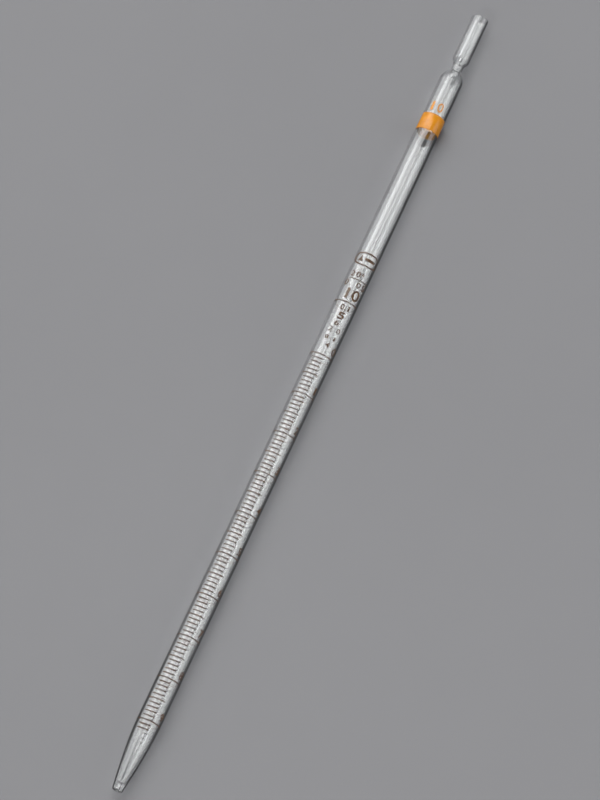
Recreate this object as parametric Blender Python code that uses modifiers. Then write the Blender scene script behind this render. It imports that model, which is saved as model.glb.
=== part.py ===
"""Graduated glass pipette, 10 ml, lying on its barrel with its jet at -Y and its mouthpiece at +Y.

Metres, +Z up. The origin is on the surface that the pipette lies on, under the middle of its length.
The glass is one open tube, turned from a profile. Everything else is fired onto it: the rings are
turned too, and each short line and figure is cut flat, then wrapped round the barrel.
"""

import math

import bmesh
import bpy

# Driving dimensions, in metres. A station is a distance along the pipette from the end of its jet.
LENGTH = 0.360
BARREL_RADIUS = 0.0049
ML_LENGTH = 0.01835
ZERO_STATION = 0.1941
BORE_RADIUS = math.sqrt(1e-6 / (math.pi * ML_LENGTH))  # the bore that holds 1 ml in that length

JET_RADIUS = 0.0022
JET_BORE = 0.0005
JET_BORE_LENGTH = 0.003
CAVITY_RADIUS = 0.0015  # the bore's radius where it has opened out above the jet's hole
CAVITY_END = 0.001
TAPER_LENGTH = 0.031
JET_EDGE = 0.0011

SHOULDER_STATION = 0.328
SHOULDER_LENGTH = 0.0049
SHOULDER_FALL = 0.9
NECK_RADIUS = 0.00225
NECK_BORE = 0.0016
NECK_LENGTH = 0.0019
BASE_LENGTH = 0.0042
BASE_RISE = 3
MOUTHPIECE_RADIUS = 0.00353
MOUTHPIECE_BORE = 0.0029
MOUTHPIECE_EDGE = 0.0002
BORE_SHIFT = 0.0005  # the neck's inside starts and ends this far from its outside

# The glass has SIDES flats, which lie on the true radius, with one straight down.
SIDES = 24
FLAT = math.radians(360 / SIDES)
CORNER = 1 / math.cos(FLAT / 2)

# The print stands off the glass by a small gap, so the pipette lies on its rings. Its angles are
# counted from PRINT_TURN, where the figures' middle is, and that is counted from straight up towards +X.
PRINT_GAP = 0.00005
PRINT_THICKNESS = 0.00005
PRINT_TURN = math.radians(8)
LINE_WIDTH = 0.00044
HALF_LINE = (math.radians(-60), math.radians(27))

BAND_STATION = 0.3062
BAND_WIDTH = 0.0077
VOLUME_LINE_STATION = 0.2189
ROW_LINE_STATION = 0.2295
ROW_LINE_WIDTH = 0.00035
NUMERAL_RISE = 0.0032
NUMERAL_ANGLE = 49  # in degrees
NUMERAL_SIZE = (0.0020, 0.0034)
ONE_SIZE = (0.0010, 0.0034)  # the numeral 1, which is narrower
READINGS = 10

GLASS = ("borosilicate_glass", (0.93, 0.96, 0.95, 1.0), 0.02)
ENAMEL = ("orange_enamel", (0.87, 0.38, 0.05, 1.0), 0.3)
STAIN = ("brown_stain", (0.20, 0.09, 0.03, 1.0), 0.45)


def clear_scene():
    for item in list(bpy.data.objects):
        bpy.data.objects.remove(item, do_unlink=True)


def material(name, colour, roughness):
    made = bpy.data.materials.get(name)
    if made is None:
        made = bpy.data.materials.new(name)
        made.use_nodes = True
        shader = made.node_tree.nodes["Principled BSDF"]
        shader.inputs["Base Color"].default_value = colour
        shader.inputs["Roughness"].default_value = roughness
        shader.inputs["Metallic"].default_value = 0.0
    return made


def add_part(name, mesh, finish):
    """Links a mesh as a named part on the pipette's axis, where local +Z runs from jet to mouthpiece."""
    part = bpy.data.objects.new(name, mesh)
    mesh.materials.clear()
    mesh.materials.append(material(*finish))
    PARTS.objects.link(part)
    part.parent = AXIS
    return part


# ---- the glass ----


def stretch(start, length, steps, radius_at):
    """(radius, station) points along a stretch, whose radius follows radius_at from 0 to 1."""
    return [(radius_at(i / steps), start + length * i / steps) for i in range(steps + 1)]


def taper(tip, barrel, start, steps=8):
    def radius_at(q):
        return tip + (barrel - tip) * math.sin(q * math.pi / 2)

    return stretch(start, TAPER_LENGTH - start, steps, radius_at)


def shoulder(barrel, neck, start, length, steps=7):
    def radius_at(q):
        return neck + (barrel - neck) * max(math.cos(q * math.pi / 2), 0) ** SHOULDER_FALL

    return stretch(start, length, steps, radius_at)


def mouthpiece_base(neck, mouthpiece, start, length, steps=6):
    def radius_at(q):
        return neck + (mouthpiece - neck) * (3 * q**2 - 2 * q**3) ** BASE_RISE

    return stretch(start, length, steps, radius_at)[1:]


def rounded_edge(radius, end, edge, inward, steps=3):
    """A quarter round between an end face and a wall. inward is 1 at the jet and -1 at the mouthpiece."""
    points = []
    for i in range(steps):
        angle = i / steps * math.pi / 2
        drop = edge * (1 - math.sin(angle))
        points.append((radius - drop, end + inward * edge * (1 - math.cos(angle))))
    return points if inward > 0 else points[::-1]


def outside():
    base_start = SHOULDER_STATION + SHOULDER_LENGTH + NECK_LENGTH
    points = rounded_edge(JET_RADIUS, 0, JET_EDGE, 1)
    points += taper(JET_RADIUS, BARREL_RADIUS, JET_EDGE)
    points += shoulder(BARREL_RADIUS, NECK_RADIUS, SHOULDER_STATION, SHOULDER_LENGTH)
    points += mouthpiece_base(NECK_RADIUS, MOUTHPIECE_RADIUS, base_start, BASE_LENGTH)
    points.append((MOUTHPIECE_RADIUS, LENGTH - MOUTHPIECE_EDGE))
    points += rounded_edge(MOUTHPIECE_RADIUS, LENGTH, MOUTHPIECE_EDGE, -1)
    return points


def cavity_end(steps=3):
    """The quarter round by which the jet's hole opens out into the bore."""
    points = []
    for i in range(steps):
        angle = i / steps * math.pi / 2
        radius = JET_BORE + (CAVITY_RADIUS - JET_BORE) * math.sin(angle)
        points.append((radius, JET_BORE_LENGTH + CAVITY_END * (1 - math.cos(angle))))
    return points


def bore():
    start = SHOULDER_STATION - BORE_SHIFT
    base_start = SHOULDER_STATION + SHOULDER_LENGTH + NECK_LENGTH + BORE_SHIFT
    points = [(JET_BORE, 0)]
    points += cavity_end()
    points += taper(CAVITY_RADIUS, BORE_RADIUS, JET_BORE_LENGTH + CAVITY_END)
    points += shoulder(BORE_RADIUS, NECK_BORE, start, SHOULDER_LENGTH)
    points += mouthpiece_base(NECK_BORE, MOUTHPIECE_BORE, base_start, BASE_LENGTH)
    points.append((MOUTHPIECE_BORE, LENGTH))
    return points


def turned(name, profile, finish):
    """A closed (radius, station) profile, down its outside and back up its inside, turned into a ring."""
    points = [(radius * CORNER, 0, station) for radius, station in profile]
    edges = [(i, (i + 1) % len(points)) for i in range(len(points))]
    mesh = bpy.data.meshes.new(name)
    mesh.from_pydata(points, edges, [])
    part = add_part(name, mesh, finish)
    part.rotation_euler.z = FLAT / 2
    screw = part.modifiers.new("turned", "SCREW")
    screw.steps = SIDES
    screw.render_steps = SIDES
    screw.use_merge_vertices = True
    screw.merge_threshold = 0.00001


def glass_tube():
    """One open tube, from the jet's small hole to the mouthpiece's wide one."""
    turned("glass_tube", outside()[::-1] + bore(), GLASS)


# ---- print: rings turned in place, the rest cut flat and wrapped round the barrel ----


def ring(name, station, width=LINE_WIDTH, finish=STAIN):
    """A line all round the barrel."""
    inner = BARREL_RADIUS + PRINT_GAP
    outer = inner + PRINT_THICKNESS
    low, high = station - width / 2, station + width / 2
    turned(name, [(outer, high), (outer, low), (inner, low), (inner, high)], finish)


def slice_at_corners(shape, angle):
    """Cuts a flat shape where the barrel's flats meet, so that it can bend there."""
    across = [vert.co.x for vert in shape.verts]
    radius = BARREL_RADIUS + PRINT_GAP
    turn = PRINT_TURN + angle
    first = math.ceil((min(across) / radius + turn) / FLAT - 0.5)
    last = math.floor((max(across) / radius + turn) / FLAT - 0.5)
    for corner in range(first, last + 1):
        x = ((corner + 0.5) * FLAT - turn) * radius
        whole = shape.verts[:] + shape.edges[:] + shape.faces[:]
        bmesh.ops.bisect_plane(shape, geom=whole, dist=1e-7, plane_co=(x, 0, 0), plane_no=(1, 0, 0))


def wrap(shape, angle, station):
    """Bends a flat shape round the barrel: its X becomes an angle, its Y a station, its Z a height."""
    slice_at_corners(shape, angle)
    for vert in shape.verts:
        around = PRINT_TURN + angle + vert.co.x / (BARREL_RADIUS + PRINT_GAP)
        off_middle = around - FLAT * round(around / FLAT)
        radius = (BARREL_RADIUS + PRINT_GAP + vert.co.z) / math.cos(off_middle)
        vert.co = (radius * math.sin(around), -radius * math.cos(around), station + vert.co.y)


def add_print(name, shape, angle, station, finish):
    wrap(shape, angle, station)
    mesh = bpy.data.meshes.new(name)
    shape.to_mesh(mesh)
    shape.free()
    add_part(name, mesh, finish)


def line(name, station, start, end, width=LINE_WIDTH, finish=STAIN):
    """A line round the barrel, between two angles counted from the print's middle."""
    length = (end - start) * (BARREL_RADIUS + PRINT_GAP)
    shape = bmesh.new()
    bmesh.ops.create_cube(shape, size=1)
    bmesh.ops.scale(shape, vec=(length, width, PRINT_THICKNESS), verts=shape.verts)
    bmesh.ops.translate(shape, vec=(0, 0, PRINT_THICKNESS / 2), verts=shape.verts)
    add_print(name, shape, (start + end) / 2, station, finish)


def flat_shape(curve):
    """The closed solid of a flat curve or text, as a bmesh, with the helper object removed."""
    helper = bpy.data.objects.new("helper", curve)
    bpy.context.scene.collection.objects.link(helper)
    bpy.context.view_layer.update()
    solid = helper.evaluated_get(bpy.context.evaluated_depsgraph_get())
    mesh = bpy.data.meshes.new_from_object(solid)
    shape = bmesh.new()
    shape.from_mesh(mesh)
    bmesh.ops.remove_doubles(shape, verts=shape.verts, dist=1e-6)
    bpy.data.objects.remove(helper, do_unlink=True)
    bpy.data.meshes.remove(mesh)
    return shape


def fit(shape, width, height):
    """Scales a flat shape to a width, a height and the print's thickness, centred in X and Y."""
    for axis, size in enumerate((width, height, PRINT_THICKNESS)):
        values = [vert.co[axis] for vert in shape.verts]
        low = min(values)
        scale = size / (max(values) - low)
        middle = size / 2 if axis < 2 else 0
        for vert in shape.verts:
            vert.co[axis] = (vert.co[axis] - low) * scale - middle


def figure(name, text, station, degrees, size, finish=STAIN, bold=0.0):
    """One printed figure, size = (width, height), upright when the mouthpiece is up."""
    curve = bpy.data.curves.new(name, "FONT")
    curve.body = text
    curve.extrude = 0.05
    curve.offset = bold
    curve.resolution_u = 2
    shape = flat_shape(curve)
    fit(shape, *size)
    add_print(name, shape, math.radians(degrees), station, finish)


def outline(name, loops, station, degrees, size, finish=STAIN):
    """A printed shape from closed loops of corners. A second loop is a hole in the first."""
    curve = bpy.data.curves.new(name, "CURVE")
    curve.dimensions = "2D"
    curve.fill_mode = "BOTH"
    curve.extrude = 0.05
    for corners in loops:
        spline = curve.splines.new("POLY")
        spline.points.add(len(corners) - 1)
        for point, (x, y) in zip(spline.points, corners):
            point.co = (x, y, 0, 1)
        spline.use_cyclic_u = True
    shape = flat_shape(curve)
    fit(shape, *size)
    add_print(name, shape, math.radians(degrees), station, finish)


def oval(width, height, corners=24):
    """The corners of a broad oval, squarer than an ellipse."""
    points = []
    for i in range(corners):
        across, up = math.cos(2 * math.pi * i / corners), math.sin(2 * math.pi * i / corners)
        x = width / 2 * math.copysign(abs(across) ** 0.75, across)
        y = height / 2 * math.copysign(abs(up) ** 0.75, up)
        points.append((x, y))
    return points


# ---- the parts ----


def colour_code():
    ring("colour_band", BAND_STATION, BAND_WIDTH, ENAMEL)
    figure("code_figure_1", "1", 0.3134, -30, (0.0011, 0.0042), ENAMEL)
    figure("code_figure_0", "0", 0.3134, 10, (0.0024, 0.0042), ENAMEL)


def scale():
    """A ring and a numeral at each millilitre, and a shorter line at each half."""
    for reading in range(READINGS):
        station = ZERO_STATION - reading * ML_LENGTH
        size = ONE_SIZE if reading == 1 else NUMERAL_SIZE
        ring(f"ml_line_{reading}", station)
        figure(f"numeral_{reading}", str(reading), station + NUMERAL_RISE, NUMERAL_ANGLE, size)
        if reading < READINGS - 1:
            line(f"half_line_{reading}.5", station - ML_LENGTH / 2, *HALF_LINE)


def volume_mark():
    ring("volume_line", VOLUME_LINE_STATION)
    figure("volume_figure_1", "1", 0.2227, -17, (0.0012, 0.0048), bold=0.01)
    figure("volume_figure_0", "0", 0.2227, 27, (0.0034, 0.0048), bold=0.01)


def inscription():
    """Plain figures only: temperature, tolerance, scale division, waiting time and a batch number."""
    line("row_line", ROW_LINE_STATION, math.radians(-40), math.radians(60), ROW_LINE_WIDTH)
    small, row = (0.0016, 0.0024), (0.0018, 0.0026)
    figure("temperature_2", "2", 0.2317, -33, row)
    figure("temperature_0", "0", 0.2317, -5, row)
    figure("temperature_degree", "°", 0.2322, 18, (0.0011, 0.0012))
    figure("tolerance_0", "0", 0.2274, -46, row)
    figure("tolerance_point", ".", 0.2264, -26, (0.0005, 0.0005))
    figure("tolerance_tenths", "0", 0.2274, 17, row)
    figure("tolerance_hundredths", "5", 0.2274, 46, row)
    figure("division_0", "0", 0.2163, -9, small)
    figure("division_point", ".", 0.2153, 8, (0.0005, 0.0005))
    figure("division_1", "1", 0.2163, 23, (0.0007, 0.0024))
    figure("waiting_time_5", "5", 0.2125, 2, (0.0027, 0.0032), bold=0.03)
    figure("batch_6", "6", 0.2090, -1, (0.0020, 0.0022))
    figure("batch_2", "2", 0.2058, -17, small)
    figure("batch_0", "0", 0.2058, 24, small)
    figure("batch_8", "8", 0.2020, -17, (0.0014, 0.0018))
    figure("batch_1", "1", 0.2020, 22, (0.0008, 0.0018))
    figure("batch_4", "4", 0.1987, 3, (0.0016, 0.0020))


def emblem():
    """A plain oval frame round a flask and a bar, which stand for no maker."""
    frame = [oval(12, 6), oval(10.6, 4.9)]
    flask = [(-2.2, -2), (2.2, -2), (0.6, 0.7), (0.6, 2), (-0.6, 2), (-0.6, 0.7)]
    bar = [(-2, -1), (2, -1), (2, 1), (-2, 1)]
    outline("emblem_frame", frame, 0.2390, 4, (0.0120, 0.0060))
    outline("emblem_flask", [flask], 0.2390, -28, (0.0022, 0.0026))
    outline("emblem_bar", [bar], 0.2390, 18, (0.0044, 0.0012))


clear_scene()
PARTS = bpy.data.collections.new("graduated_pipette")
bpy.context.scene.collection.children.link(PARTS)
AXIS = bpy.data.objects.new("pipette_axis", None)
PARTS.objects.link(AXIS)
AXIS.location = (0, -LENGTH / 2, BARREL_RADIUS + PRINT_GAP + PRINT_THICKNESS)
AXIS.rotation_euler.x = math.radians(-90)

glass_tube()
colour_code()
scale()
volume_mark()
inscription()
emblem()
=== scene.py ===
"""Looks for the graduated glass pipette.

Clear glass turned smooth, fired-on print wrapped round it, a plain floor, soft studio light and
a camera at the reference view.

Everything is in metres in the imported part's frame: +Y runs from the jet to the mouthpiece, +Z is
up. A station is a distance along the pipette from the end of its jet. A print angle is in degrees
round the barrel, from the middle of the figures. A turn is an angle round the pipette's axis, from
straight up towards +X.
"""

import math

import bmesh
import bpy
from mathutils import Matrix, Vector


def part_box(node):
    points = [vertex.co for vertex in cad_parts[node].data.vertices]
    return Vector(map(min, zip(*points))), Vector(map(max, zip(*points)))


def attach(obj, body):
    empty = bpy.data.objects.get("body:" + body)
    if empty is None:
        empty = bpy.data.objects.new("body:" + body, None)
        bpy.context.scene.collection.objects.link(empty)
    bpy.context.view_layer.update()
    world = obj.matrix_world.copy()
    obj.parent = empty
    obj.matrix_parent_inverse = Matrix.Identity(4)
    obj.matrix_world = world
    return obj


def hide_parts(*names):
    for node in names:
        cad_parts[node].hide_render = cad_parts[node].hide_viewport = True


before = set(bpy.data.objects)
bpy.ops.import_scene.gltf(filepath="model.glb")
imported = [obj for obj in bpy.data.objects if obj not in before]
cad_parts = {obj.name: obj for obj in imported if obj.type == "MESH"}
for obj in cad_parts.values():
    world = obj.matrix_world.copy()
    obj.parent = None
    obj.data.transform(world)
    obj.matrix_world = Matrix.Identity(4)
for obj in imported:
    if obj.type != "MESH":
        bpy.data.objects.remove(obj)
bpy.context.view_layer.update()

BODY = "root"

GLASS_LOW, GLASS_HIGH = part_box("glass_tube")
JET_Y = GLASS_LOW.y
LENGTH = GLASS_HIGH.y - GLASS_LOW.y
AXIS_Z = (GLASS_LOW.z + GLASS_HIGH.z) / 2
BARREL_RADIUS = (GLASS_HIGH.z - GLASS_LOW.z) / 2

# The glass, with the CAD's measures.
ML_VOLUME = 1e-6
ML_LENGTH = 0.01835
ZERO_STATION = 0.1941
BORE_RADIUS = math.sqrt(ML_VOLUME / (math.pi * ML_LENGTH))  # it holds 1 ml in that length
JET_RADIUS = 0.0022
JET_BORE = 0.0005
JET_BORE_LENGTH = 0.003
JET_EDGE = 0.0011
CAVITY_RADIUS = 0.0015  # the bore's radius where it has opened out above the jet's hole
CAVITY_END = 0.001
TAPER_LENGTH = 0.031
SHOULDER_STATION = 0.328
SHOULDER_LENGTH = 0.0049
SHOULDER_FALL = 0.9
NECK_RADIUS = 0.00225
NECK_BORE = 0.0016
NECK_LENGTH = 0.0019
BASE_LENGTH = 0.0042
BASE_RISE = 3
MOUTHPIECE_RADIUS = 0.00353
MOUTHPIECE_BORE = 0.0029
BORE_SHIFT = 0.0005  # the neck's inside starts and ends this far from its outside

# The glass, where the visual model goes its own way.
NECK_FILLET = 0.0004  # the radius of the hollow round where a shoulder meets the neck
HOLE_RING = 0.0003  # a ring this far below the end of the jet's hole keeps its shading straight
RIM_DEPTH = 0.00035  # how far the mouthpiece's rim is rounded
LIP_POWER = 0.8  # makes the fire-polished ends squarer than a circle

# How finely the glass is divided.
SEGMENTS = 128
TAPER_STEPS = 48
BARREL_STEPS = 24
SHOULDER_STEPS = 28
FILLET_STEPS = 8
BASE_STEPS = 24
CAVITY_STEPS = 12
LIP_STEPS = 12

# The print. It is thinner than the CAD's and closer to the glass.
PRINT_GAP = 0.000006
PRINT_THICKNESS = 0.00002
PRINT_TURN = math.radians(8)
RING_BEVEL = 0.00006
LINE_WIDTH = 0.00044
HALF_LINE = (-60, 27)
TENTH_LINE = (-42, 14)
BAND_STATION = 0.3062
BAND_WIDTH = 0.0077
CODE_FIGURE_STATION = 0.3134
CODE_FIGURE_HEIGHT = 0.0042
EMBLEM_STATION = 0.2390
ROW_LINE_STATION = 0.2295
ROW_LINE = (-40, 60)
ROW_LINE_WIDTH = 0.00035
VOLUME_FIGURE_STATION = 0.2227
VOLUME_FIGURE_HEIGHT = 0.0048
VOLUME_LINE_STATION = 0.2189
NUMERAL_RISE = 0.0032
NUMERAL_ANGLE = 49
NUMERAL_SIZE = (0.0020, 0.0034)
ONE_SIZE = (0.0010, 0.0034)
POINT_SIZE = (0.0005, 0.0005)
ROW_SIZE = (0.0018, 0.0026)
SMALL_SIZE = (0.0016, 0.0024)
READINGS = 10

# How far a figure's outline is moved outwards, in the font's own units.
FIGURE_BOLD = 0.018
CODE_BOLD = 0.01
VOLUME_BOLD = 0.015
WAITING_TIME_BOLD = 0.03

# How the print is made: flat, in units of its own, then cut into slices and bent.
FLAT_DEPTH = 0.05
GLYPH_STEPS = 6
OVAL_CORNERS = 64
OVAL_POWER = 0.75
SLICE = math.radians(3)
ON_CUT = 1e-7
SAME_PLACE = 1e-6
SAME_PLANE = math.radians(1)
SHARP_EDGE = math.radians(40)

# How far the painted dark edge shade reaches where the glass is seen edge on. It is a painted
# reflection of dark surroundings, painted lighter in the neck and on the -X side of the upper
# barrel.
JET_WIDER = 0.09  # how much further in it reaches at the jet
NECK_SHARE = 0.15  # what share of it is left in the neck
NECK_FADE = (0.2, 0.45, 0.85, 1)  # where that sets in and ends, between barrel and mouthpiece
# Less painted edge shade on the -X side of the upper barrel paints that side lighter than the +X
# side.
LEFT_LESS = 0.6  # how much less of it there is on the -X side of the upper barrel
LEFT_FROM, LEFT_FULL = 0.05, 0.2  # the stations where that sets in and is complete

# The sockets of a colour mix, which share their names with other kinds of mix.
MIX_A, MIX_B, MIX_RESULT = 6, 7, 2

# Where most of a noise texture's values lie.
NOISE_LOW, NOISE_HIGH = 0.3, 0.7

LIGHT_DISTANCE = 2.0


# ---- procedural materials ----


class Tree:
    """A material's node tree, with short calls for the nodes that these materials use."""

    def __init__(self, name):
        self.material = bpy.data.materials.new(name)
        self.material.use_nodes = True
        self.tree = self.material.node_tree
        self.shader = self.tree.nodes["Principled BSDF"]
        self.place = self.add("ShaderNodeTexCoord").outputs["Object"]

    def add(self, kind, **values):
        node = self.tree.nodes.new(kind)
        for key, value in values.items():
            setattr(node, key, value)
        return node

    def link(self, a, b):
        self.tree.links.new(a, b)

    def set(self, **values):
        """Sets the shader's own sockets, named with underscores for spaces."""
        for key, value in values.items():
            self.shader.inputs[key.replace("_", " ")].default_value = value

    def link_shader(self, **outputs):
        """Links outputs to the shader's own sockets, named with underscores for spaces."""
        for key, output in outputs.items():
            self.link(output, self.shader.inputs[key.replace("_", " ")])

    def stretched(self, scale):
        """The object's own coordinates, scaled in X, Y and Z."""
        mapping = self.add("ShaderNodeMapping")
        mapping.inputs["Scale"].default_value = scale
        self.link(self.place, mapping.inputs["Vector"])
        return mapping.outputs["Vector"]

    def noise(self, scale, detail=3.0, roughness=0.55):
        """Noise with so many cells to the metre in X, Y and Z."""
        node = self.add("ShaderNodeTexNoise")
        self.link(self.stretched(scale), node.inputs["Vector"])
        node.inputs["Scale"].default_value = 1.0
        node.inputs["Detail"].default_value = detail
        node.inputs["Roughness"].default_value = roughness
        return node.outputs["Fac"]

    def ramp(self, value, stops):
        node = self.add("ShaderNodeValToRGB")
        elements = node.color_ramp.elements
        while len(elements) < len(stops):
            elements.new(0.5)
        for element, (position, colour) in zip(elements, stops):
            element.position = position
            element.color = (*colour, 1.0)
        self.link(value, node.inputs["Fac"])
        return node.outputs["Color"]

    def remapped(self, value, low, high, start, end):
        """Value's range from low to high, laid out from start to end and held there."""
        node = self.add("ShaderNodeMapRange")
        keys = ("From Min", "From Max", "To Min", "To Max")
        for key, number in zip(keys, (low, high, start, end)):
            node.inputs[key].default_value = number
        self.link(value, node.inputs["Value"])
        return node.outputs["Result"]

    def spread(self, noise, low, high):
        """Noise laid out from low to high."""
        return self.remapped(noise, NOISE_LOW, NOISE_HIGH, low, high)

    def maths(self, operation, a, b):
        """One operation on two values, each of them an output or a float."""
        node = self.add("ShaderNodeMath", operation=operation)
        for socket, value in zip(node.inputs, (a, b)):
            if isinstance(value, float):
                socket.default_value = value
            else:
                self.link(value, socket)
        return node.outputs["Value"]

    def mix(self, share, a, b):
        node = self.add("ShaderNodeMix", data_type="RGBA")
        self.link(share, node.inputs["Factor"])
        self.link(a, node.inputs[MIX_A])
        self.link(b, node.inputs[MIX_B])
        return node.outputs[MIX_RESULT]

    def bump(self, height, distance, under=None):
        """A normal bumped by a height that is distance deep, on top of the one under it."""
        node = self.add("ShaderNodeBump")
        node.inputs["Strength"].default_value = 1.0
        node.inputs["Distance"].default_value = distance
        self.link(height, node.inputs["Height"])
        if under is not None:
            self.link(under, node.inputs["Normal"])
        return node.outputs["Normal"]


def grey(value):
    return (value, value, value)


def edge_share(tree, aslant):
    """How far the glass goes over to its painted dark edge shade, a painted reflection of dark
    surroundings, from 0 to 1.

    That reaches further in towards the jet, and is weaker in the neck and on the -X side of the
    upper barrel, which are painted lighter.
    """
    split = tree.add("ShaderNodeSeparateXYZ")
    tree.link(tree.place, split.inputs["Vector"])
    across, along = split.outputs["X"], split.outputs["Y"]

    layer = tree.add("ShaderNodeLayerWeight")
    layer.inputs["Blend"].default_value = 0.5
    wider = tree.remapped(along, JET_Y, JET_Y + TAPER_LENGTH, JET_WIDER, 0)
    facing = tree.maths("ADD", layer.outputs["Facing"], wider)
    share = tree.ramp(facing, [(aslant[0], grey(0)), (aslant[1], grey(1))])

    shoulder_y = JET_Y + SHOULDER_STATION
    neck_end = shoulder_y + SHOULDER_LENGTH + NECK_LENGTH
    reach = tree.remapped(along, shoulder_y, neck_end, 0, 1)
    faint = grey(NECK_SHARE)
    neck = tree.ramp(reach, list(zip(NECK_FADE, (grey(1), faint, faint, grey(1)))))

    left = tree.remapped(across, -BARREL_RADIUS / 2, BARREL_RADIUS / 2, LEFT_LESS, 0)
    upper = tree.remapped(along, JET_Y + LEFT_FROM, JET_Y + LEFT_FULL, 0, 1)
    side = tree.maths("SUBTRACT", 1.0, tree.maths("MULTIPLY", left, upper))
    return tree.maths("MULTIPLY", tree.maths("MULTIPLY", share, neck), side)


def clear_glass(name, aslant, dark):
    """Borosilicate glass: barely tinted, with faint draw lines and slow ripples.

    Seen edge on, from the first facing of aslant to the second, it goes over to a painted dark
    tone as bright as dark. It is a painted reflection of dark surroundings.
    """
    tree = Tree(name)
    tree.set(Transmission_Weight=1.0, Roughness=0.0, IOR=1.473)
    streaks = tree.noise((90, 12, 90))
    tint = tree.ramp(
        streaks, [(NOISE_LOW, (0.968, 0.978, 0.974)), (NOISE_HIGH, (0.985, 0.99, 0.988))]
    )
    # The painted dark edge shade, a painted reflection of dark surroundings.
    edge = tree.ramp(streaks, [(NOISE_LOW, grey(dark)), (NOISE_HIGH, grey(dark * 1.3))])
    share = edge_share(tree, aslant)
    draw_lines = tree.bump(tree.noise((700, 6, 700), 2.0), distance=4e-8)
    ripples = tree.bump(tree.noise((60, 40, 60), 1.0), distance=2.5e-7, under=draw_lines)
    tree.link_shader(Base_Color=tree.mix(share, tint, edge), Normal=ripples)
    return tree.material


def fired_enamel():
    """Glossy orange enamel, mottled where it was laid on thick and thin."""
    tree = Tree("orange_fired_enamel")
    tree.set(IOR=1.52, Specular_IOR_Level=0.35)
    cloud = tree.noise((420, 420, 420), 4.0)
    colour = tree.ramp(
        cloud,
        [
            (0.3, (0.37, 0.135, 0.002)),
            (0.5, (0.43, 0.162, 0.003)),
            (0.72, (0.49, 0.19, 0.006)),
        ],
    )
    roughness = tree.spread(tree.noise((1500, 1500, 1500)), 0.13, 0.25)
    grain = tree.bump(tree.noise((9000, 9000, 9000), 2.0), distance=2e-6)
    mottle = tree.bump(cloud, distance=1.2e-5, under=grain)
    tree.link_shader(Base_Color=colour, Roughness=roughness, Normal=mottle)
    return tree.material


def amber_stain():
    """Brown stain fired into the glass, with darker and lighter patches and a smooth face."""
    tree = Tree("brown_amber_stain")
    tree.set(IOR=1.5, Specular_IOR_Level=0.3)
    patches = tree.noise((900, 900, 900), 4.0, 0.6)
    colour = tree.ramp(
        patches,
        [
            (0.32, (0.028, 0.012, 0.004)),
            (0.52, (0.054, 0.024, 0.007)),
            (0.7, (0.115, 0.050, 0.014)),
        ],
    )
    roughness = tree.spread(tree.noise((2600, 2600, 2600)), 0.08, 0.2)
    grain = tree.bump(tree.noise((12000, 12000, 12000), 2.0), distance=2e-6)
    tree.link_shader(Base_Color=colour, Roughness=roughness, Normal=grain)
    return tree.material


def floor_finish():
    """Plain pale grey, with the slightest unevenness."""
    tree = Tree("pale_floor")
    tree.set(Specular_IOR_Level=0.2)
    shade = tree.ramp(
        tree.noise((3, 3, 3), 2.0),
        [(NOISE_LOW, (0.140, 0.140, 0.145)), (NOISE_HIGH, (0.148, 0.148, 0.153))],
    )
    roughness = tree.spread(tree.noise((40, 40, 40)), 0.62, 0.66)
    grain = tree.bump(tree.noise((900, 900, 900), 2.0), distance=4e-6)
    tree.link_shader(Base_Color=shade, Roughness=roughness, Normal=grain)
    return tree.material


# ---- pieces ----


def add_piece(name, mesh, finish, slot, *stands_for):
    """Makes a mesh one piece of the pipette, in place of the CAD's nodes that it stands for."""
    mesh.materials.clear()
    mesh.materials.append(finish)
    piece = bpy.data.objects.new(name, mesh)
    bpy.context.scene.collection.objects.link(piece)
    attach(piece, BODY)
    if stands_for:
        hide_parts(*stands_for)


def add_print(name, mesh, *stands_for, enamel=False):
    finish, slot = (ENAMEL, "orange_enamel") if enamel else (STAIN, "brown_stain")
    add_piece(name, mesh, finish, slot, *stands_for)


def on_axis(radius, turn, station):
    """The point at a radius, a turn and a station."""
    return (radius * math.sin(turn), JET_Y + station, AXIS_Z + radius * math.cos(turn))


def turned(name, profile):
    """A closed (radius, station) profile turned round the axis, as a mesh with smooth faces."""
    count = len(profile)
    points = [
        on_axis(radius, 2 * math.pi * i / SEGMENTS, station)
        for i in range(SEGMENTS)
        for radius, station in profile
    ]
    faces = []
    for i in range(SEGMENTS):
        here, after = i * count, (i + 1) % SEGMENTS * count
        for j in range(count):
            k = (j + 1) % count
            faces.append((here + j, here + k, after + k, after + j))
    mesh = bpy.data.meshes.new(name)
    mesh.from_pydata(points, [], faces)
    mesh.shade_smooth()
    return mesh


# ---- glass ----
# A profile is a list of (radius, station) points. It is put together from runs of them, which
# go towards the mouthpiece, and from the two rounded ends.


def stretch(start, length, steps, radius_at):
    return [(radius_at(i / steps), start + length * i / steps) for i in range(steps + 1)]


def taper(tip, barrel, start):
    def radius_at(q):
        return tip + (barrel - tip) * math.sin(q * math.pi / 2)

    return stretch(start, TAPER_LENGTH - start, TAPER_STEPS, radius_at)


def straight(radius, end):
    """The barrel between its taper and its shoulder, without its two end points."""
    return stretch(TAPER_LENGTH, end - TAPER_LENGTH, BARREL_STEPS, lambda q: radius)[1:-1]


def shoulder(barrel, neck, start):
    """From the barrel in to the neck, which it meets in a hollow round."""
    low = neck + NECK_FILLET

    def radius_at(q):
        return low + (barrel - low) * max(math.cos(q * math.pi / 2), 0) ** SHOULDER_FALL

    points = stretch(start, SHOULDER_LENGTH, SHOULDER_STEPS, radius_at)
    corner = start + SHOULDER_LENGTH
    for i in range(1, FILLET_STEPS + 1):
        angle = i / FILLET_STEPS * math.pi / 2
        radius = neck + NECK_FILLET * (1 - math.sin(angle))
        points.append((radius, corner + NECK_FILLET * (1 - math.cos(angle))))
    return points


def mouthpiece_base(neck, mouthpiece, start):
    def radius_at(q):
        return neck + (mouthpiece - neck) * (3 * q**2 - 2 * q**3) ** BASE_RISE

    return stretch(start, BASE_LENGTH, BASE_STEPS, radius_at)[1:]


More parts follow.
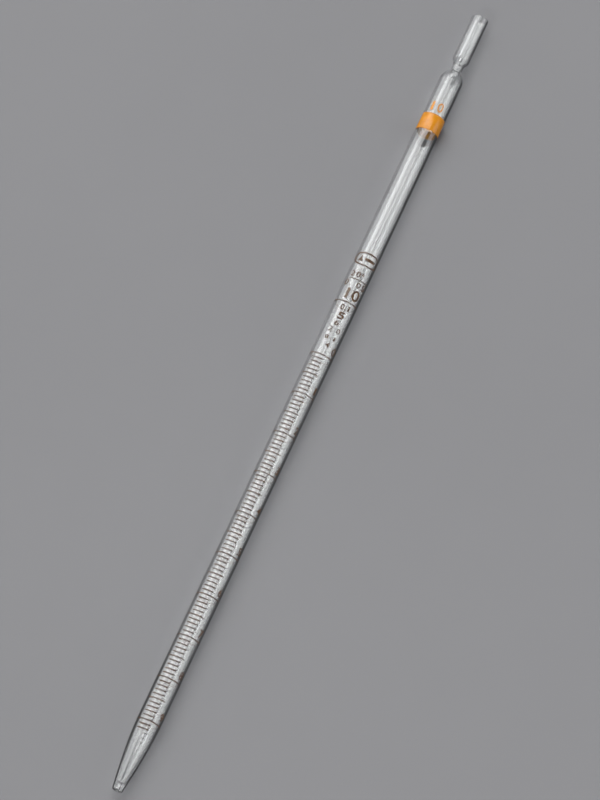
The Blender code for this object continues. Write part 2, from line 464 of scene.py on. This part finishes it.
def jet_hole():
    """The top of the jet's hole, and the quarter round from there out to the cavity's wall."""
    points = [(JET_BORE, JET_BORE_LENGTH - HOLE_RING)]
    for i in range(CAVITY_STEPS):
        angle = i / CAVITY_STEPS * math.pi / 2
        radius = JET_BORE + (CAVITY_RADIUS - JET_BORE) * math.sin(angle)
        points.append((radius, JET_BORE_LENGTH + CAVITY_END * (1 - math.cos(angle))))
    return points


def lip(inner, outer, end, depth, inward):
    """A fire-polished end, from the outside to the bore. inward is 1 at the jet, or else -1."""
    middle, half = (inner + outer) / 2, (outer - inner) / 2
    points = []
    for i in range(LIP_STEPS + 1):
        angle = math.pi * i / LIP_STEPS
        flat = math.copysign(abs(math.cos(angle)) ** LIP_POWER, math.cos(angle))
        station = end + inward * depth * (1 - math.sin(angle) ** LIP_POWER)
        points.append((middle + half * flat, station))
    return points


def glass_profile():
    """Down the outside from the mouthpiece to the jet, and back up the bore and round the rim."""
    base_start = SHOULDER_STATION + SHOULDER_LENGTH + NECK_LENGTH
    outside = taper(JET_RADIUS, BARREL_RADIUS, JET_EDGE)[1:]
    outside += straight(BARREL_RADIUS, SHOULDER_STATION)
    outside += shoulder(BARREL_RADIUS, NECK_RADIUS, SHOULDER_STATION)
    outside += mouthpiece_base(NECK_RADIUS, MOUTHPIECE_RADIUS, base_start)
    bore_start = SHOULDER_STATION - BORE_SHIFT
    inside = jet_hole()
    inside += taper(CAVITY_RADIUS, BORE_RADIUS, JET_BORE_LENGTH + CAVITY_END)
    inside += straight(BORE_RADIUS, bore_start)
    inside += shoulder(BORE_RADIUS, NECK_BORE, bore_start)
    inside += mouthpiece_base(NECK_BORE, MOUTHPIECE_BORE, base_start + BORE_SHIFT)
    jet_lip = lip(JET_BORE, JET_RADIUS, 0, JET_EDGE, 1)
    mouth_lip = lip(MOUTHPIECE_BORE, MOUTHPIECE_RADIUS, LENGTH, RIM_DEPTH, -1)
    return outside[::-1] + jet_lip, inside + mouth_lip[::-1]


def glass():
    outside, inside = glass_profile()
    mesh = turned("clear_glass", outside + inside)
    add_piece("clear_glass", mesh, GLASS, "borosilicate_glass", "glass_tube")
    mesh.materials.append(BORE_GLASS)
    count = len(outside) + len(inside)
    bore = range(len(outside), count - LIP_STEPS)
    for face in mesh.polygons:
        if face.index % count in bore:
            face.material_index = 1


# ---- print ----


def ring(node, station, width=LINE_WIDTH, enamel=False):
    """A line right round the barrel, with its two edges bevelled."""
    name = node + "_print"
    inner = BARREL_RADIUS + PRINT_GAP
    outer = inner + PRINT_THICKNESS
    low, high = station - width / 2, station + width / 2
    edge = min(width / 6, RING_BEVEL)
    crown = [(inner, high), (outer, high - edge), (outer, low + edge), (inner, low)]
    add_print(name, turned(name, crown), node, enamel=enamel)


def sliced(shape):
    """Cuts a flat shape across at every SLICE of turn, so that it can bend smoothly."""
    across = [vert.co.x for vert in shape.verts]
    step = SLICE * BARREL_RADIUS
    for i in range(math.floor(min(across) / step) + 1, math.ceil(max(across) / step)):
        whole = shape.verts[:] + shape.edges[:] + shape.faces[:]
        bmesh.ops.bisect_plane(
            shape, geom=whole, dist=ON_CUT, plane_co=(i * step, 0, 0), plane_no=(1, 0, 0)
        )
    bmesh.ops.remove_doubles(shape, verts=shape.verts, dist=SAME_PLACE)
    bmesh.ops.triangulate(shape, faces=shape.faces)


def wrapped(name, shape, degrees, station):
    """Bends a flat shape, whose Z runs from 0 to 1, round the barrel and returns it as a mesh."""
    sliced(shape)
    for vert in shape.verts:
        turn = PRINT_TURN + math.radians(degrees) + vert.co.x / BARREL_RADIUS
        radius = BARREL_RADIUS + PRINT_GAP + PRINT_THICKNESS * vert.co.z
        vert.co = on_axis(radius, turn, station + vert.co.y)
    mesh = bpy.data.meshes.new(name)
    shape.to_mesh(mesh)
    shape.free()
    mesh.shade_smooth()
    mesh.set_sharp_from_angle(angle=SHARP_EDGE)
    return mesh


def bar(shape, start, end, station, width):
    """Adds a flat line to shape, between two print angles, at a station from the shape's own."""
    low, high = math.radians(start) * BARREL_RADIUS, math.radians(end) * BARREL_RADIUS
    made = bmesh.ops.create_cube(shape, size=1)["verts"]
    bmesh.ops.scale(shape, vec=(high - low, width, 1), verts=made)
    bmesh.ops.translate(shape, vec=((low + high) / 2, station, 0.5), verts=made)


def line(node, station, angles, width):
    """A line over part of the barrel, between two print angles."""
    name = node + "_print"
    shape = bmesh.new()
    bar(shape, *angles, 0, width)
    add_print(name, wrapped(name, shape, 0, station), node)


def flat_shape(curve):
    """The closed solid of a flat curve or text, as a bmesh."""
    helper = bpy.data.objects.new("helper", curve)
    bpy.context.scene.collection.objects.link(helper)
    bpy.context.view_layer.update()
    solid = helper.evaluated_get(bpy.context.evaluated_depsgraph_get())
    mesh = bpy.data.meshes.new_from_object(solid)
    shape = bmesh.new()
    shape.from_mesh(mesh)
    bmesh.ops.remove_doubles(shape, verts=shape.verts, dist=SAME_PLACE)
    bmesh.ops.dissolve_limit(
        shape, angle_limit=SAME_PLANE, verts=shape.verts, edges=shape.edges
    )
    bpy.data.objects.remove(helper, do_unlink=True)
    bpy.data.meshes.remove(mesh)
    return shape


def fit(shape, width, height):
    """Scales a flat shape to a width and a height, centred in X and Y, with its Z from 0 to 1."""
    for axis, size in enumerate((width, height, 1)):
        values = [vert.co[axis] for vert in shape.verts]
        low = min(values)
        scale = size / (max(values) - low)
        middle = size / 2 if axis < 2 else 0
        for vert in shape.verts:
            vert.co[axis] = (vert.co[axis] - low) * scale - middle


def add_flat(node, curve, station, degrees, size, enamel=False):
    """Adds a flat curve or text as a print of one size, at a station and a print angle."""
    name = node + "_print"
    curve.extrude = FLAT_DEPTH
    shape = flat_shape(curve)
    fit(shape, *size)
    add_print(name, wrapped(name, shape, degrees, station), node, enamel=enamel)


def figure(node, text, station, degrees, size, bold=FIGURE_BOLD, enamel=False):
    curve = bpy.data.curves.new(node, "FONT")
    curve.body = text
    curve.offset = bold
    curve.resolution_u = GLYPH_STEPS
    add_flat(node, curve, station, degrees, size, enamel)


def outline(node, loops, degrees, size):
    """A shape of the emblem: its outer loop, and any loop that is cut out of it."""
    curve = bpy.data.curves.new(node, "CURVE")
    curve.dimensions = "2D"
    curve.fill_mode = "BOTH"
    for corners in loops:
        spline = curve.splines.new("POLY")
        spline.points.add(len(corners) - 1)
        for point, (x, y) in zip(spline.points, corners):
            point.co = (x, y, 0, 1)
        spline.use_cyclic_u = True
    add_flat(node, curve, EMBLEM_STATION, degrees, size)


def oval(width, height):
    """Corners of a broad oval, squarer than an ellipse."""
    points = []
    for i in range(OVAL_CORNERS):
        angle = 2 * math.pi * i / OVAL_CORNERS
        x, y = (
            math.copysign(abs(value) ** OVAL_POWER, value)
            for value in (math.cos(angle), math.sin(angle))
        )
        points.append((width / 2 * x, height / 2 * y))
    return points


def colour_code():
    ring("colour_band", BAND_STATION, BAND_WIDTH, enamel=True)
    for text, degrees, width in (("1", -30, 0.0011), ("0", 10, 0.0024)):
        node, size = f"code_figure_{text}", (width, CODE_FIGURE_HEIGHT)
        figure(node, text, CODE_FIGURE_STATION, degrees, size, bold=CODE_BOLD, enamel=True)


def tenth_lines(reading, tenths):
    """The short lines below one whole reading, as one piece."""
    shape = bmesh.new()
    for tenth in tenths:
        bar(shape, *TENTH_LINE, -tenth * ML_LENGTH / 10, LINE_WIDTH)
    name = f"tenth_lines_{reading}"
    add_print(name, wrapped(name, shape, 0, ZERO_STATION - reading * ML_LENGTH))


def scale():
    for reading in range(READINGS):
        station = ZERO_STATION - reading * ML_LENGTH
        numeral, rise = f"numeral_{reading}", station + NUMERAL_RISE
        size = ONE_SIZE if reading == 1 else NUMERAL_SIZE
        ring(f"ml_line_{reading}", station)
        figure(numeral, str(reading), rise, NUMERAL_ANGLE, size)
        if reading < READINGS - 1:
            line(f"half_line_{reading}.5", station - ML_LENGTH / 2, HALF_LINE, LINE_WIDTH)
            tenth_lines(reading, (1, 2, 3, 4, 6, 7, 8, 9))
        else:
            tenth_lines(reading, (1, 2))


def volume_mark():
    ring("volume_line", VOLUME_LINE_STATION)
    for text, degrees, width in (("1", -17, 0.0012), ("0", 27, 0.0034)):
        node, size = f"volume_figure_{text}", (width, VOLUME_FIGURE_HEIGHT)
        figure(node, text, VOLUME_FIGURE_STATION, degrees, size, bold=VOLUME_BOLD)


def inscription():
    line("row_line", ROW_LINE_STATION, ROW_LINE, ROW_LINE_WIDTH)
    figure("temperature_2", "2", 0.2317, -33, ROW_SIZE)
    figure("temperature_0", "0", 0.2317, -5, ROW_SIZE)
    figure("temperature_degree", "°", 0.2322, 18, (0.0011, 0.0012))
    figure("tolerance_0", "0", 0.2274, -46, ROW_SIZE)
    figure("tolerance_point", ".", 0.2264, -26, POINT_SIZE)
    figure("tolerance_tenths", "0", 0.2274, 17, ROW_SIZE)
    figure("tolerance_hundredths", "5", 0.2274, 46, ROW_SIZE)
    figure("division_0", "0", 0.2163, -9, SMALL_SIZE)
    figure("division_point", ".", 0.2153, 8, POINT_SIZE)
    figure("division_1", "1", 0.2163, 23, (0.0007, 0.0024))
    figure("waiting_time_5", "5", 0.2125, 2, (0.0027, 0.0032), bold=WAITING_TIME_BOLD)
    figure("batch_6", "6", 0.2090, -1, (0.0020, 0.0022))
    figure("batch_2", "2", 0.2058, -17, SMALL_SIZE)
    figure("batch_0", "0", 0.2058, 24, SMALL_SIZE)
    figure("batch_8", "8", 0.2020, -17, (0.0014, 0.0018))
    figure("batch_1", "1", 0.2020, 22, (0.0008, 0.0018))
    figure("batch_4", "4", 0.1987, 3, (0.0016, 0.0020))


def emblem():
    rims = [oval(12, 6), oval(10.6, 4.9)]
    flask = [(-2.2, -2), (2.2, -2), (0.6, 0.7), (0.6, 2), (-0.6, 2), (-0.6, 0.7)]
    stroke = [(-2, -1), (2, -1), (2, 1), (-2, 1)]
    outline("emblem_frame", rims, 4, (0.0120, 0.0060))
    outline("emblem_flask", [flask], -28, (0.0022, 0.0026))
    outline("emblem_bar", [stroke], 18, (0.0044, 0.0012))


# ---- floor, light and camera ----


def floor():
    half_width, cells = 6.0, 40
    shape = bmesh.new()
    bmesh.ops.create_grid(shape, x_segments=cells, y_segments=cells, size=half_width)
    mesh = bpy.data.meshes.new("floor")
    shape.to_mesh(mesh)
    shape.free()
    mesh.materials.append(floor_finish())
    piece = bpy.data.objects.new("floor", mesh)
    bpy.context.scene.collection.objects.link(piece)


def soft_light(name, lean, incline, spread, radiance):
    """A large round light far away, spread degrees across.

    lean is its angle from straight up towards +X, and incline its angle from there towards +Y.
    """
    lean, incline, half = math.radians(lean), math.radians(incline), math.radians(spread / 2)
    over = Vector((math.sin(lean), 0, math.cos(lean)))
    away = over * math.cos(incline) + Vector((0, math.sin(incline), 0))
    lamp = bpy.data.lights.new(name, "SUN")
    lamp.angle = 2 * half
    lamp.energy = radiance * math.pi * math.sin(half) ** 2
    light = bpy.data.objects.new(name, lamp)
    place = Matrix.Translation(away * LIGHT_DISTANCE)
    light.matrix_world = place @ away.to_track_quat("Z", "Y").to_matrix().to_4x4()
    bpy.context.scene.collection.objects.link(light)


def studio():
    world = bpy.data.worlds.new("studio")
    world.use_nodes = True
    background = world.node_tree.nodes["Background"]
    background.inputs["Color"].default_value = (0.96, 0.97, 1.0, 1.0)
    background.inputs["Strength"].default_value = 0.35
    bpy.context.scene.world = world
    soft_light("key_light_low", -32, 8, 44, 2.0)
    soft_light("key_light_middle", -32, 26, 44, 2.0)
    soft_light("key_light_high", -32, 37, 44, 2.0)
    soft_light("top_light", 2, 15, 30, 4.0)
    soft_light("right_light", 66, 12, 44, 1.8)
    soft_light("left_light", -74, 14, 40, 1.7)
    soft_light("jet_light", -10, -44, 18, 16.0)
    soft_light("shoulder_light", -16, 60, 26, 5.0)
    bpy.context.scene.view_settings.view_transform = "Standard"
    bpy.context.scene.cycles.blur_glossy = 0


def camera():
    """A long lens that looks down on the pipette, turned so that it lies aslant in the frame."""
    azimuth, elevation = math.radians(23.526), math.radians(67.427)
    distance, focal_length, sensor_width = 1.4761, 168.039, 36
    aside, above = -0.002517, -0.004534
    level = math.cos(elevation)
    forward = Vector(
        (-math.sin(azimuth) * level, math.cos(azimuth) * level, -math.sin(elevation))
    )
    right = Vector((math.cos(azimuth), math.sin(azimuth), 0))
    up = right.cross(forward)
    target = Vector((0, 0, AXIS_Z)) + right * aside + up * above
    data = bpy.data.cameras.new("camera")
    data.sensor_width = sensor_width
    data.sensor_fit = "AUTO"
    data.lens = focal_length
    data.clip_start, data.clip_end = 0.05, 50
    eye = bpy.data.objects.new("camera", data)
    facing = Matrix([[right[i], up[i], -forward[i]] for i in range(3)]).to_4x4()
    eye.matrix_world = Matrix.Translation(target - forward * distance) @ facing
    bpy.context.scene.collection.objects.link(eye)
    bpy.context.scene.camera = eye


# The two facings given set where the painted dark edge shade sets in and is complete, and the last
# value how dark it is painted.
GLASS = clear_glass("borosilicate_clear", (0.46, 0.51), 0.002)
BORE_GLASS = clear_glass("borosilicate_bore", (0.56, 0.68), 0.006)
ENAMEL = fired_enamel()
STAIN = amber_stain()

camera()
glass()
colour_code()
scale()
volume_mark()
inscription()
emblem()
floor()
studio()
